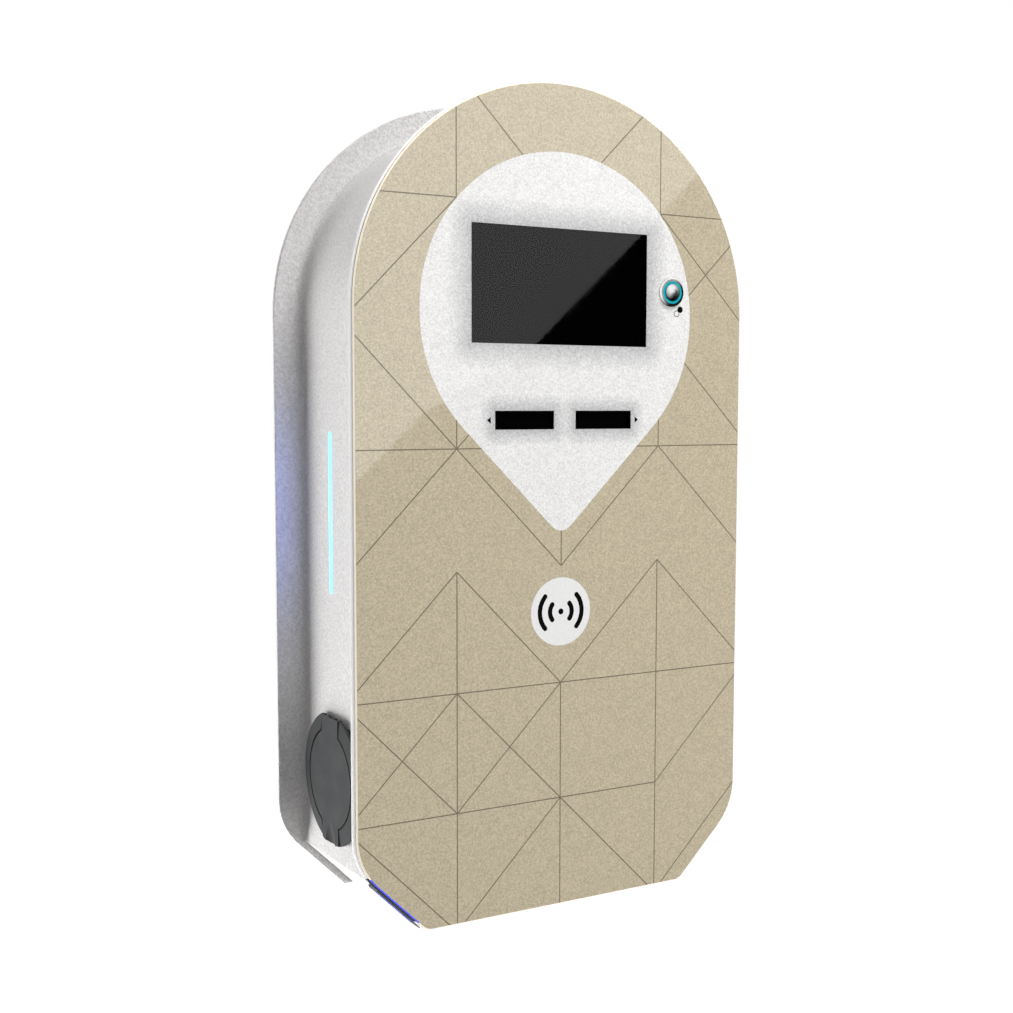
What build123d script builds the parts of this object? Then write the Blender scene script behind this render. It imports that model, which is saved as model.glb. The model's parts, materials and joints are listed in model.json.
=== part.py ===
from build123d import *

import os
from math import atan2, cos, degrees, radians, sin, sqrt, tan

# A wall charging station for two vehicles. +Z is up, the front faces -Y and the wall plane is Y = 0.
# The origin is the middle of the four wall holes. Depths are distances from the wall towards the viewer.

# Overall form
total_depth = 150.0
arch_height = 147.0
cut_overrun = 1.0
small_gap = 0.3
glue_gap = 0.05

# Front: outline of the glass sheet, and the printed area inside its bevel
front_half_width = 170.0
front_side_height = 407.0
front_drop = 462.4
front_elbow_radius = 54.0
front_corner_radius = 10.0
print_margin = 1.0
print_thickness = 0.5
glass_thickness = 4.0
glass_bevel = 0.8
edge_break = 0.4

# Steel cover behind the glass, and the bonding film between them
bond_thickness = 0.2
cover_margin = 1.3
cover_thickness = 3.0
collar_thickness = 2.0
collar_length = 10.0
collar_clearance = 1.0
hook_width = 60.0
hook_reach = 7.0
hook_clearance = 1.0
tab_width = 24.0
tab_height = 10.0
tab_spread = 70.0
cover_screw_radius = 2.5
cover_screw_head_radius = 4.2
cover_screw_head_height = 2.8
cover_screw_length = 18.0
screw_slot_width = 1.2
screw_slot_depth = 1.0
cover_boss_radius = 8.0

# Rubber gasket between cover and housing
gasket_thickness = 3.0
gasket_width = 8.0
gasket_setback = 2.0

# Cast housing, drafted towards the front
draft_angle = 3.0
body_half_width = 157.1
body_side_height = 430.1
body_drop = 472.0
body_wall = 3.0
rim_thickness = 3.0
mouth_inset = 12.0
flange_half_width = 179.0
flange_side_height = 415.9
flange_elbow_radius = 54.0
flange_thickness = 3.0
flange_edge = 1.0
cove_radius = 6.0

# Back plate and what holds it
plate_thickness = 2.5
wall_hole_radius = 4.5
wall_hole_spread = 120.0
wall_hole_rise = 440.0
boss_radius = 6.5
boss_length = 12.0
boss_inset = 5.5
plate_screw_radius = 2.0
plate_screw_head_radius = 4.0
plate_screw_length = 11.0
side_boss_shares = [0.0, 0.45, 0.88]
bottom_boss_share = 0.55

# White map-pin field
pin_radius = 119.0
pin_shoulder = 3.9
pin_tip_radius = 12.0

# Thin grid lines in the beige field: columns, rows and the lines between their crossings
line_width = 0.9
line_depth = 0.25
column_pitch = 89.5
row_pitch = 91.15
first_row_rise = 79.0
grid_line_shares = [
    ((-1, -1), (-1, 0)),
    ((-2, 0), (-1, 0)),
    ((-1, 0), (-2, 1)),
    ((-1, -1), (0, 0)),
    ((1, -1), (0, 0)),
    ((1, -1), (1, 0)),
    ((1, 0), (2, 0)),
    ((1, 0), (2, 1)),
    ((2, 0), (1, 1)),
    ((-2, 1), (-1, 2)),
    ((-2, 2), (2, 2)),
    ((1, 1), (2, 2)),
    ((-1, 1), (-1, 2)),
    ((1, 1), (1, 2)),
    ((-1, 2), (0, 1)),
    ((-1, 2), (0, 3)),
    ((-1, 2), (-2, 3)),
    ((1, 2), (0, 3)),
    ((1, 2), (2, 3)),
    ((0, 2), (0, 3)),
    ((-1, 3), (-2, 4)),
    ((-1, 3), (0, 4)),
    ((1, 3), (0, 4)),
    ((1, 3), (2, 4)),
    ((-2, 4), (2, 4)),
    ((-1, 3), (-1, 6)),
    ((0, 4), (0, 6)),
    ((1, 3), (1, 6)),
    ((-2, 5), (1, 5)),
    ((-2, 4), (-1, 5)),
    ((-1, 4), (-2, 5)),
    ((-1, 4), (1, 6)),
    ((0, 4), (-1, 5)),
    ((0, 5), (-1, 6)),
    ((2, 4), (1, 5)),
    ((2, 5), (1, 6)),
    ((-2, 5), (-1, 6)),
]

# Reader mark and the board behind it
reader_drop = 230.2
reader_radius = 26.6
wave_stroke = 3.9
wave_radii = [9.7, 18.7]
wave_half_angles = [37.5, 41.5]
wave_dot_radius = 2.3
reader_board_side = 56.0
board_thickness = 1.6
reader_coil_radius = 22.0
reader_coil_width = 3.0
reader_coil_height = 0.8
reader_stud_radius = 2.0
reader_stud_length = 8.0
reader_stud_inset = 5.0

# Display
screen_width = 154.4
screen_height = 87.5
screen_rise = 18.4
screen_border = 5.0
display_frame_margin = 3.0
display_frame_depth = 9.0
display_lug_radius = 4.0
display_lug_offset = 2.4
display_stud_radius = 1.5

# Meter windows and the arrows beside them
window_width = 50.8
window_height = 14.1
window_border = 3.0
window_drop = 82.4
window_pitch = 70.0
window_shift = 2.8
arrow_height = 5.0
arrow_length = 3.2
arrow_gap = 3.6

# Push button and the two small marks beside it
button_gap = 15.1
button_rise = 18.2
button_bezel_radius = 11.2
button_bezel_height = 2.4
button_bezel_edge = 0.8
button_thread_radius = 9.4
button_thread_length = 26.0
button_ring_outer = 8.85
button_ring_inner = 7.1
button_ring_depth = 2.0
button_cap_radius = 6.6
button_cap_height = 2.6
button_cap_dome = 1.8
button_cap_depth = 6.0
button_fit = 0.08
button_travel = 2.0
button_nut_across = 24.0
button_nut_height = 4.0
mark_radius = 2.6
mark_offset = 16.0
mark_angle = -55.0
mark_pitch = 3.4
mark_ring_width = 0.5

# Light bar in each side wall
bar_length = 126.0
bar_width = 5.6
bar_depth = 60.0
bar_drop = 154.7
bar_proud = 0.3
bar_flange_margin = 4.0
bar_flange_thickness = 2.0
bar_case_height = 7.0

# Light in each lower corner
corner_light_setback = 9.8
corner_end_margin = 1.8
corner_bezel_width = 19.0
corner_bezel_thickness = 2.0
corner_spigot_margin = 3.0
corner_spigot_height = 8.0
corner_lens_margin = 5.0
corner_lens_width = 5.0
corner_lens_proud = 0.3

# Vehicle socket in each side wall
socket_depth = 67.4
socket_drop = 361.9
socket_flange_radius = 50.0
socket_flange_thickness = 2.2
socket_body_radius = 38.0
socket_body_length = 58.0
socket_flat = 36.0
mouth_radius = 31.5
mouth_flat = 25.5
island_gap = 3.5
island_face = 10.0
groove_depth = 36.0
carrier_flange = 3.0
contact_ring_radius = 16.0
contact_radius = 4.2
contact_bore = 3.0
contact_bore_depth = 24.0
small_contact_radius = 2.7
small_contact_bore = 1.5
contact_recess = 2.0
contact_tail_radius = 2.0
contact_tail_length = 8.0
socket_screw_ring_radius = 44.0
socket_screw_radius = 1.9
socket_screw_head_radius = 3.4
socket_screw_head_height = 1.2
socket_screw_length = 9.0

# Hinged lid over the socket
lid_radius = 52.0
lid_top = 49.1
lid_thickness = 3.4
lid_rim_thickness = 2.2
lid_edge = 0.6
lid_groove_width = 1.2
lid_groove_depth = 0.8
lid_disc_radius = 39.4
lid_tongue_half = 16.1
lid_top_slant = 0.3
lid_skirt_radius = 29.0
lid_skirt_thickness = 2.0
lid_skirt_length = 4.4
notch_start = 34.5
notch_radius = 16.5
notch_depth = 3.0
hinge_setback = 2.5
hinge_rise = 1.2
hinge_pin_radius = 0.65
hinge_fit = 0.05
ear_radius = 1.2
ear_foot_reach = 0.9
ear_thickness = 4.0
ear_spread = 20.0
knuckle_radius = 1.2
knuckle_gap = 7.0
spring_wire = 0.5
spring_radius = 1.2
spring_length = 6.0
spring_leg = 6.0

# Plug lock on top of each socket
lock_pin_radius = 2.5
lock_pin_setback = 6.2
lock_pin_rest = 0.5
lock_pin_length = 26.0
lock_travel = 6.0
lock_width = 36.0
lock_height = 24.0
lock_length = 22.0
lock_fit = 0.05
lock_gear_radius = 9.0
lock_gear_height = 6.0

# Top hat rails and the feet of the raised rail
rail_width = 35.0
rail_crown = 27.0
rail_depth = 7.5
rail_sheet = 1.0
rail_hook = 3.0
rail_hook_depth = 2.4
rail_hook_lip = 1.2
meter_rail_length = 166.0
lower_rail_length = 200.0
breaker_rail_drop = 45.0
contactor_rail_drop = 140.0
rail_foot_length = 16.0
rail_foot_sheet = 2.0
rail_foot_setback = 9.0

# Devices on the rails
meter_width = 54.0
meter_height = 90.0
meter_depth = 62.0
meter_shoulder = 44.0
meter_nose_height = 46.0
meter_window_gap = 1.5
breaker_width = 54.0
breaker_height = 85.0
breaker_shoulder = 44.0
breaker_depth = 66.0
breaker_nose_height = 45.0
breaker_offset = 33.0
lever_hub_radius = 6.0
lever_width = 18.0
lever_sink = 2.0
lever_reach = 9.0
lever_thickness = 4.0
lever_fit = 0.08
lever_slot_height = 24.0
lever_side_gap = 0.4
contactor_width = 36.0
contactor_height = 84.0
contactor_shoulder = 42.0
contactor_depth = 62.0
contactor_nose_height = 44.0
contactor_offset = 72.0
supply_width = 72.0
supply_height = 90.0
supply_shoulder = 40.0
supply_depth = 56.0
supply_nose_height = 52.0
supply_vent_count = 6
supply_vent_width = 2.0
supply_vent_depth = 2.0
supply_vent_share = 0.7
terminal_screw_radius = 2.6
terminal_screw_depth = 3.0
terminal_edge_share = 0.5

# Controller board on spacers, supply terminals and the supply gland
controller_width = 84.0
controller_height = 100.0
controller_rise = 190.0
controller_chip_side = 22.0
controller_chip_height = 3.0
controller_plug_depth = 12.0
controller_plug_height = 11.0
controller_plug_shares = [-0.28, 0.0, 0.28]
spacer_radius = 3.0
spacer_length = 14.0
spacer_inset = 6.0
terminal_count = 5
terminal_pitch = 15.0
terminal_height = 44.0
terminal_depth = 38.0
terminal_step = 14.0
terminal_step_depth = 20.0
terminal_drop = 222.0
terminal_entry_radius = 4.0
terminal_entry_depth = 9.0
gland_drop = 282.0
gland_bore = 9.0
gland_spigot_radius = 12.0
gland_hex_across = 34.0
gland_hex_height = 6.0
gland_dome_radius = 14.0
gland_dome_height = 14.0
gland_dome_edge = 3.0

# Worked out from the sizes above
print_back = total_depth - print_thickness
glass_back = print_back - glass_thickness
cover_front = glass_back - bond_thickness
cover_back = cover_front - cover_thickness
body_front = cover_back - gasket_thickness
draft_slope = tan(radians(draft_angle))
root_two = sqrt(2)
screen_height_z = arch_height + screen_rise
window_z = arch_height - window_drop
reader_z = arch_height - reader_drop
button_z = arch_height + button_rise
button_x = screen_width / 2 + screen_border + display_frame_margin + button_gap
meter_rail_front = cover_back - meter_window_gap - meter_depth
lower_rail_front = plate_thickness + rail_depth
rail_zs = [-breaker_rail_drop, -contactor_rail_drop]

# Front view plane: sketch X is X, sketch Y is Z, and extrusions grow towards the viewer
FRONT = Plane(origin=(0, 0, 0), x_dir=(1, 0, 0), z_dir=(0, -1, 0))


def slab(sketch, back, front):
    """The sketch of the front view, filled from one depth to another."""
    return extrude(FRONT.offset(back) * sketch, amount=front - back)


def mirrored(shape):
    """The same piece on the other side of the centre plane."""
    return mirror(shape, about=Plane.YZ)


def arch(half_width, side_height, drop, inset=0, elbow_radius=0, corner_radius=0):
    """Arch on straight sides with 45 degree lower corners, moved in by the inset."""
    half = half_width - inset
    corners = half_width + side_height - inset * root_two
    low = drop - inset
    right = [(half, arch_height), (half, arch_height - corners + half), (corners - low, arch_height - low)]
    left = [(-x, z) for x, z in reversed(right)]
    outline = make_face(Polyline(*right, *left) + CenterArc((0, arch_height), half, 0, 180))
    if elbow_radius:
        outline = fillet(outline.vertices().group_by(Axis.Y)[1], elbow_radius)
    if corner_radius:
        outline = fillet(outline.vertices().group_by(Axis.Y)[0], corner_radius)
    return outline


def front_arch(inset=0):
    """Outline of the glass sheet, or of what is parallel to it."""
    radii = {"elbow_radius": front_elbow_radius - inset, "corner_radius": front_corner_radius - inset}
    return arch(front_half_width, front_side_height, front_drop, inset, **radii)


def body_inset(depth):
    """How far the draft has moved the housing wall in at a depth."""
    return (depth - flange_thickness) * draft_slope


def body_arch(depth, inset=0):
    """Outline of the housing at a depth."""
    return arch(body_half_width, body_side_height, body_drop, body_inset(depth) + inset)


def drafted(back, front, inset=0):
    """Drafted block between two depths, parallel to the housing wall."""
    return extrude(FRONT.offset(back) * body_arch(back, inset), amount=front - back, taper=draft_angle)


def side_plane(depth, z):
    """Plane on the left side wall: local X to the front, local Y up, local Z outwards."""
    half = body_half_width - body_inset(depth)
    lean = radians(draft_angle)
    return Plane(
        origin=(-half, -depth, z),
        x_dir=(sin(lean), -cos(lean), 0),
        z_dir=(-cos(lean), -sin(lean), 0),
    )


def corner_ends(depth):
    """Upper and lower end of the lower left corner face at a depth, in the front view."""
    half = body_half_width - body_inset(depth)
    corners = body_half_width + body_side_height - body_inset(depth) * root_two
    low = body_drop - body_inset(depth)
    return Vector(-half, arch_height - corners + half), Vector(low - corners, arch_height - low)


def corner_plane(depth):
    """Plane on the lower left corner face: local X down along the face, local Y to the front."""
    upper, lower = corner_ends(depth)
    middle = (upper + lower) * 0.5
    lean = radians(draft_angle)
    return Plane(
        origin=(middle.X, -depth, middle.Y),
        x_dir=(1, 0, -1),
        z_dir=(-cos(lean) / root_two, -sin(lean), -cos(lean) / root_two),
    )


def peg(radius, back, front, x, z):
    """Round bar along the depth at a place of the front view."""
    return slab(Pos(x, z) * Circle(radius), back, front)


def block(width, height, back, front, x, z):
    """Rectangular bar along the depth at a place of the front view."""
    return slab(Pos(x, z) * Rectangle(width, height), back, front)


def rod(radius, low, high):
    """Round bar along local Z between two heights."""
    return Pos(0, 0, low) * Cylinder(radius, high - low, align=(Align.CENTER, Align.CENTER, Align.MIN))


def spread(shapes):
    """Separate solids kept together as one group."""
    return Compound(children=[solid for shape in shapes for solid in shape.solids()])


# Places


def wall_hole_places():
    """Centres of the four wall holes in the front view."""
    half_x = wall_hole_spread / 2
    half_z = wall_hole_rise / 2
    return [(x, z) for x in (-half_x, half_x) for z in (-half_z, half_z)]


def boss_places():
    """Centres of the back plate's screws, just inside the housing wall."""
    inset = body_wall + boss_inset
    side_x = body_half_width - inset
    low_z = arch_height - body_drop + inset
    low_x = (body_half_width + body_side_height - body_drop) * bottom_boss_share
    places = [(0, arch_height + side_x)]
    places += [(side * side_x, arch_height - share * body_side_height) for share in side_boss_shares for side in (-1, 1)]
    places += [(side * low_x, low_z) for side in (-1, 1)]
    return places


def tab_places():
    """Centres of the two cover screws across the bottom."""
    return [-tab_spread / 2, tab_spread / 2]


def window_places():
    """Centres of the left and right meter windows."""
    return [window_shift - window_pitch / 2, window_shift + window_pitch / 2]


# Housing


def cove():
    """Concave rounding between the side walls or the arch and the flange."""
    foot = body_half_width - cove_radius
    corner = Pos(foot, flange_thickness) * Rectangle(2 * cove_radius, cove_radius, align=(Align.MIN, Align.MIN))
    bite = Pos(foot + 2 * cove_radius, flange_thickness + cove_radius) * Circle(cove_radius)
    section = corner - bite
    standing = Plane(origin=(0, 0, arch_height), x_dir=(1, 0, 0), z_dir=(0, 0, 1))
    flat = standing * mirror(section, about=Plane.XZ)
    arched = revolve(flat, axis=Axis((0, 0, arch_height), (0, -1, 0)), revolution_arc=180)
    straight = extrude(flat, amount=-body_side_height)
    return arched + straight + mirrored(straight)


def cover_boss_foot():
    """Depth of the cover screws and height of the bottom wall there."""
    depth = body_front - rim_thickness - tab_height
    return depth, arch_height - body_drop + body_inset(depth)


def mouth_low():
    """Height of the lowest edge of the cover's collar."""
    return arch_height - body_drop + body_inset(body_front) + mouth_inset + collar_clearance


def cover_screw_cutters(clearance):
    """Shank and head of each cover screw, larger by a clearance."""
    depth, floor = cover_boss_foot()
    cutters = []
    for x in tab_places():
        shank = rod(cover_screw_radius + clearance, 0, cover_screw_length)
        head = rod(cover_screw_head_radius + clearance, -body_wall - cut_overrun, 0)
        cutters.append(Pos(x, -depth, floor + body_wall) * (shank + head))
    return cutters


def socket_wall_cut():
    """Round opening and screw holes of one socket in the left side wall, in wall coordinates."""
    reach = 2 * body_wall + cove_radius
    cut = Cylinder(socket_body_radius + small_gap, reach)
    for place in socket_screw_places():
        cut += place * Cylinder(socket_screw_radius + glue_gap, reach)
    return cut


def body_shell():
    """Drafted shell with the flared rear rim, the front rim and all wall openings."""
    flange = slab(arch(flange_half_width, flange_side_height, body_drop, 0, flange_elbow_radius), 0, flange_thickness)
    rounded = flange.faces().sort_by(Axis.Y)[0].edges().sort_by(Axis.Z)[1:]
    shell = fillet(rounded, flange_edge) + drafted(flange_thickness, body_front) + cove()
    shell -= drafted(-cut_overrun, body_front - rim_thickness, body_wall)
    shell -= slab(body_arch(body_front, mouth_inset), 0, total_depth)
    inside = drafted(0, body_front - rim_thickness, body_wall / 2)
    for x, z in boss_places():
        post = peg(boss_radius, plate_thickness, plate_thickness + boss_length, x, z)
        shell += post & inside
    for x, z in boss_places():
        shell -= peg(plate_screw_radius + glue_gap, 0, plate_thickness + boss_length, x, z)
    depth, floor = cover_boss_foot()
    for x in tab_places():
        shell += Pos(x, -depth, floor) * rod(cover_boss_radius, body_wall / 2, mouth_low() - small_gap - floor)
    for cutter in cover_screw_cutters(small_gap):
        shell -= cutter
    side_cuts = side_plane(socket_depth, arch_height - socket_drop) * socket_wall_cut()
    slot = SlotOverall(bar_length + small_gap, bar_width + small_gap, rotation=90)
    side_cuts += side_plane(bar_depth, arch_height - bar_drop) * extrude(slot, amount=2 * body_wall, both=True)
    corner = extrude(corner_spigot_outline(small_gap), amount=2 * body_wall, both=True)
    side_cuts += corner_plane(corner_light_depth()) * corner
    return shell - side_cuts - mirrored(side_cuts)


def back_plate():
    """Steel plate that closes the back, with the wall holes and the supply entry."""
    plate = slab(body_arch(plate_thickness, body_wall + small_gap), 0, plate_thickness)
    for x, z in wall_hole_places():
        plate -= peg(wall_hole_radius, -cut_overrun, plate_thickness + cut_overrun, x, z)
    for x, z in boss_places():
        head = Cone(plate_screw_head_radius + glue_gap, plate_screw_radius + glue_gap, plate_screw_head_radius - plate_screw_radius)
        plate -= countersunk(head, plate_screw_head_radius - plate_screw_radius, x, z)
        plate -= peg(plate_screw_radius + glue_gap, 0, plate_thickness + cut_overrun, x, z)
    plate -= peg(gland_spigot_radius + glue_gap, -cut_overrun, plate_thickness + cut_overrun, 0, -gland_drop)
    return plate


def countersunk(head, height, x, z):
    """A cone head with its wide end on the wall plane."""
    return Pos(x, -height / 2, z) * Rot(90, 0, 0) * head


def back_plate_screws():
    """Countersunk screws from behind into the housing's bosses."""
    height = plate_screw_head_radius - plate_screw_radius
    screws = []
    for x, z in boss_places():
        head = countersunk(Cone(plate_screw_head_radius, plate_screw_radius, height), height, x, z)
        shank = peg(plate_screw_radius, height, plate_screw_length, x, z)
        slot = block(2 * plate_screw_head_radius, screw_slot_width, -cut_overrun, screw_slot_depth, x, z)
        screws.append(head + shank - slot)
    return spread(screws)


# Front


def cover_gasket():
    """Flat rubber ring on the housing's front rim."""
    ring = body_arch(body_front, gasket_setback) - body_arch(body_front, gasket_setback + gasket_width)
    return slab(ring, body_front, cover_back)


def screen_cut():
    """Opening of the cover for the display panel."""
    width = screen_width + 2 * (screen_border + small_gap)
    height = screen_height + 2 * (screen_border + small_gap)
    return Pos(0, screen_height_z) * Rectangle(width, height)


def window_cut(x, clearance=0):
    """Opening of the cover for one meter window, or the window itself."""
    grown = 2 * (window_border + clearance)
    return Pos(x, window_z) * Rectangle(window_width + grown, window_height + grown)


def display_lugs():
    """Centres of the four studs that carry the display."""
    half_x = screen_width / 2 - display_lug_radius
    half_z = screen_height / 2 + screen_border + display_frame_margin + display_lug_offset
    return [(x, screen_height_z + z) for x in (-half_x, half_x) for z in (-half_z, half_z)]


def reader_studs():
    """Centres of the four studs that carry the reader board."""
    half = reader_board_side / 2 - reader_stud_inset
    return [(x, reader_z + z) for x in (-half, half) for z in (-half, half)]


def front_cover():
    """Steel plate with a collar that enters the housing, a top hook, bottom tabs and studs."""
    cover = slab(front_arch(-cover_margin), cover_back, cover_front)
    cover = chamfer(cover.faces().sort_by(Axis.Y)[0].edges(), edge_break)
    outer = body_arch(body_front, mouth_inset + collar_clearance)
    inner = body_arch(body_front, mouth_inset + collar_clearance + collar_thickness)
    collar_back = cover_back - collar_length
    cover += slab(outer - inner, collar_back, cover_back)
    top = arch_height + body_half_width - body_inset(body_front) - mouth_inset - collar_clearance
    hook_front = body_front - rim_thickness - hook_clearance
    hook = Pos(0, top) * Rectangle(hook_width, 2 * hook_reach)
    rail = slab(hook, hook_front - collar_thickness, hook_front)
    web = Pos(0, top - hook_reach / 2) * Rectangle(hook_width, hook_reach)
    keep = drafted(0, body_front, body_wall + small_gap)
    room = slab(body_arch(body_front, mouth_inset + collar_clearance), 0, total_depth)
    cover += rail & keep
    cover += slab(web, hook_front - collar_thickness, cover_back) & room
    for x in tab_places():
        cover += bottom_tab(x)
    cover -= slab(screen_cut(), 0, total_depth)
    for x in window_places():
        cover -= slab(window_cut(x, small_gap), 0, total_depth)
    cover -= peg(button_thread_radius + small_gap, 0, total_depth, button_x, button_z)
    cover -= peg(reader_radius - reader_stud_inset, cover_back - cut_overrun, total_depth, 0, reader_z)
    for x, z in reader_studs():
        cover += peg(reader_stud_radius, cover_back - reader_stud_length, cover_back, x, z)
    for x, z in display_lugs():
        cover += peg(display_stud_radius, cover_back - display_frame_depth, cover_back, x, z)
    for cutter in cover_screw_cutters(glue_gap):
        cover -= cutter
    return cover


def bottom_tab(x):
    """Block behind the collar that takes a cover screw."""
    depth, _ = cover_boss_foot()
    return block(tab_width, tab_height, depth - tab_height / 2, cover_back, x, mouth_low() + tab_height / 2)


def cover_screws():
    """Two screws up through the bottom wall into the cover's tabs."""
    depth, floor = cover_boss_foot()
    screw = rod(cover_screw_radius, 0, cover_screw_length)
    screw += rod(cover_screw_head_radius, -cover_screw_head_height, 0)
    slot = Box(2 * cover_screw_head_radius, screw_slot_width, 2 * screw_slot_depth)
    screw -= Pos(0, 0, -cover_screw_head_height) * slot
    return spread([Pos(x, -depth, floor + body_wall) * screw for x in tab_places()])


def front_glass():
    """Toughened sheet with a bevelled front edge and the button hole."""
    glass = slab(front_arch(), glass_back, print_back)
    glass = chamfer(glass.faces().sort_by(Axis.Y)[0].edges(), glass_bevel)
    glass = chamfer(glass.faces().sort_by(Axis.Y)[-1].edges(), edge_break)
    return glass - peg(button_thread_radius + small_gap, 0, total_depth, button_x, button_z)


# Fired print on the front of the glass


def pin_field():
    """Map-pin outline: a round head with 45 degree flanks and a rounded tip."""
    head = CenterArc((0, 0), pin_radius, 0, 180)
    tip_z = -pin_shoulder - (pin_radius - pin_tip_radius) * root_two
    edge = pin_radius / root_two
    tip_edge = pin_tip_radius / root_two
    outline = head
    for side in (-1, 1):
        outline += Line((side * pin_radius, 0), (side * pin_radius, -pin_shoulder))
        flank_top = (side * edge, -pin_shoulder - edge)
        outline += Line(flank_top, (side * tip_edge, tip_z - tip_edge))
    outline += CenterArc((0, -pin_shoulder), pin_radius, 180, 45)
    outline += CenterArc((0, -pin_shoulder), pin_radius, 315, 45)
    outline += CenterArc((0, tip_z), pin_tip_radius, 225, 90)
    return Pos(0, arch_height) * make_face(outline)


def grid_point(column, row):
    """Crossing of a grid column and row in the front view."""
    return Vector(column * column_pitch, arch_height + first_row_rise - row * row_pitch)


def grid_strip(start, end):
    """Thin strip from one grid crossing to another, with overlapping square ends."""
    first = grid_point(*start)
    run = grid_point(*end) - first
    middle = first + run * 0.5
    turn = run.get_signed_angle(Vector(1, 0), Vector(0, 0, 1))
    return Pos(middle.X, middle.Y) * Rot(0, 0, -turn) * Rectangle(run.length, line_width)


def button_hole():
    """Hole of the print for the button's barrel."""
    return Pos(button_x, button_z) * Circle(button_thread_radius + small_gap)


def field_outline():
    """Beige area: all of the print without the pin, the reader disc and the button hole."""
    return front_arch(print_margin) - pin_field() - Pos(0, reader_z) * Circle(reader_radius) - button_hole()


def line_field():
    """All grid lines, cut to the beige area."""
    strips = [grid_strip(*ends) for ends in grid_line_shares]
    net = strips[0]
    for strip in strips[1:]:
        net += strip
    return net & field_outline()


def pattern_lines():
    """Dark lines, flush with the beige coat."""
    return spread([slab(line_field(), total_depth - line_depth, total_depth)])


def beige_print():
    """Beige coat around and behind the lines."""
    coat = slab(field_outline(), print_back, total_depth)
    return coat - slab(line_field(), total_depth - line_depth, total_depth + cut_overrun)


def arrow(side):
    """Small triangle beside a window, pointing outwards."""
    x = window_shift + side * (window_pitch / 2 + window_width / 2 + arrow_gap)
    tip = (x + side * arrow_length, window_z)
    return make_face(Polyline((x, window_z - arrow_height / 2), (x, window_z + arrow_height / 2), tip, close=True))


def button_marks():
    """A filled dot and a small ring beside the button."""
    angle = radians(mark_angle)
    x = button_x + mark_offset * cos(angle)
    z = button_z + mark_offset * sin(angle)
    dot = Pos(x, z) * Circle(mark_radius)
    ring = Circle(mark_radius) - Circle(mark_radius - mark_ring_width)
    return dot + (Pos(x - mark_pitch, z - mark_pitch) * ring - dot)


def mark_field():
    """All small black marks in the pin field."""
    return arrow(-1) + arrow(1) + button_marks()


def pin_print():
    """White coat of the pin field with the openings of display, windows and button."""
    coat = pin_field() - Pos(0, screen_height_z) * Rectangle(screen_width, screen_height)
    for x in window_places():
        coat -= Pos(x, window_z) * Rectangle(window_width, window_height)
    return slab(coat - button_hole() - mark_field(), print_back, total_depth)


def guide_marks():
    """Black arrows and button marks."""
    return spread([slab(mark_field(), print_back, total_depth)])


def wave_field():
    """Dot with two arcs on each side."""
    field = Circle(wave_dot_radius)
    for radius, half_angle in zip(wave_radii, wave_half_angles):
        for start in (-half_angle, 180 - half_angle):
            field += SlotArc(CenterArc((0, 0), radius, start, 2 * half_angle), wave_stroke)
    return Pos(0, reader_z) * field


def reader_disc():
    """White disc of the reader mark."""
    return slab(Pos(0, reader_z) * Circle(reader_radius) - wave_field(), print_back, total_depth)


def reader_waves():
    """Black waves of the reader mark."""
    return spread([slab(wave_field(), print_back, total_depth)])


# Behind the cover


def display_panel():
    """Liquid crystal panel that fills the cover's opening."""
    width = screen_width + 2 * screen_border
    height = screen_height + 2 * screen_border
    return block(width, height, cover_back, cover_front, 0, screen_height_z)


def display_frame():
    """Metal housing of the display with four screw lugs."""
    margin = screen_border + display_frame_margin
    body = Rectangle(screen_width + 2 * margin, screen_height + 2 * margin)
    frame = slab(Pos(0, screen_height_z) * body, cover_back - display_frame_depth, cover_back)
    for x, z in display_lugs():
        frame += peg(display_lug_radius, cover_back - display_frame_depth, cover_back - display_frame_depth / 2, x, z)
    for x, z in display_lugs():
        frame -= peg(display_stud_radius + glue_gap, 0, cover_back, x, z)
    return frame


def meter_window(x):
    """Smoked window in the cover's opening."""
    return slab(window_cut(x), cover_back, cover_front)


def reader_board():
    """Board with the ring of the antenna coil, on the cover's studs."""
    back = cover_back - reader_stud_length - board_thickness
    front = back + board_thickness
    board = block(reader_board_side, reader_board_side, back, front, 0, reader_z)
    coil = Circle(reader_coil_radius) - Circle(reader_coil_radius - reader_coil_width)
    return board + slab(Pos(0, reader_z) * coil, back, front + reader_coil_height)


# Push button, modelled along its own axis with local Z towards the viewer


def button_plane():
    """Plane on the print at the button."""
    return Plane(origin=(button_x, -total_depth, button_z), x_dir=(1, 0, 0), z_dir=(0, -1, 0))


def button_bezel():
    """Steel bezel and threaded barrel with the seats of ring and cap."""
    bezel = rod(button_bezel_radius, 0, button_bezel_height)
    bezel = chamfer(bezel.edges().sort_by(Axis.Z)[-1], button_bezel_edge)
    bezel += rod(button_thread_radius, -button_thread_length, 0)
    top = button_bezel_height + cut_overrun
    bezel -= rod(button_ring_outer, button_bezel_height - button_ring_depth, top)
    floor = button_bezel_height - button_cap_depth - button_travel - small_gap
    bezel -= rod(button_cap_radius + button_fit, floor, top)
    return button_plane() * bezel


def button_ring():
    """Lit ring between bezel and cap."""
    ring = rod(button_ring_outer, button_bezel_height - button_ring_depth, button_bezel_height)
    ring -= rod(button_ring_inner, -button_thread_length, button_bezel_height + cut_overrun)
    return button_plane() * ring


def button_cap():
    """Domed cap that travels into the barrel."""
    top = button_bezel_height + button_cap_height
    ball_radius = (button_cap_radius ** 2 + button_cap_dome ** 2) / (2 * button_cap_dome)
    ball = Pos(0, 0, top - ball_radius) * Sphere(ball_radius)
    return button_plane() * (rod(button_cap_radius, button_bezel_height - button_cap_depth, top) & ball)


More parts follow.
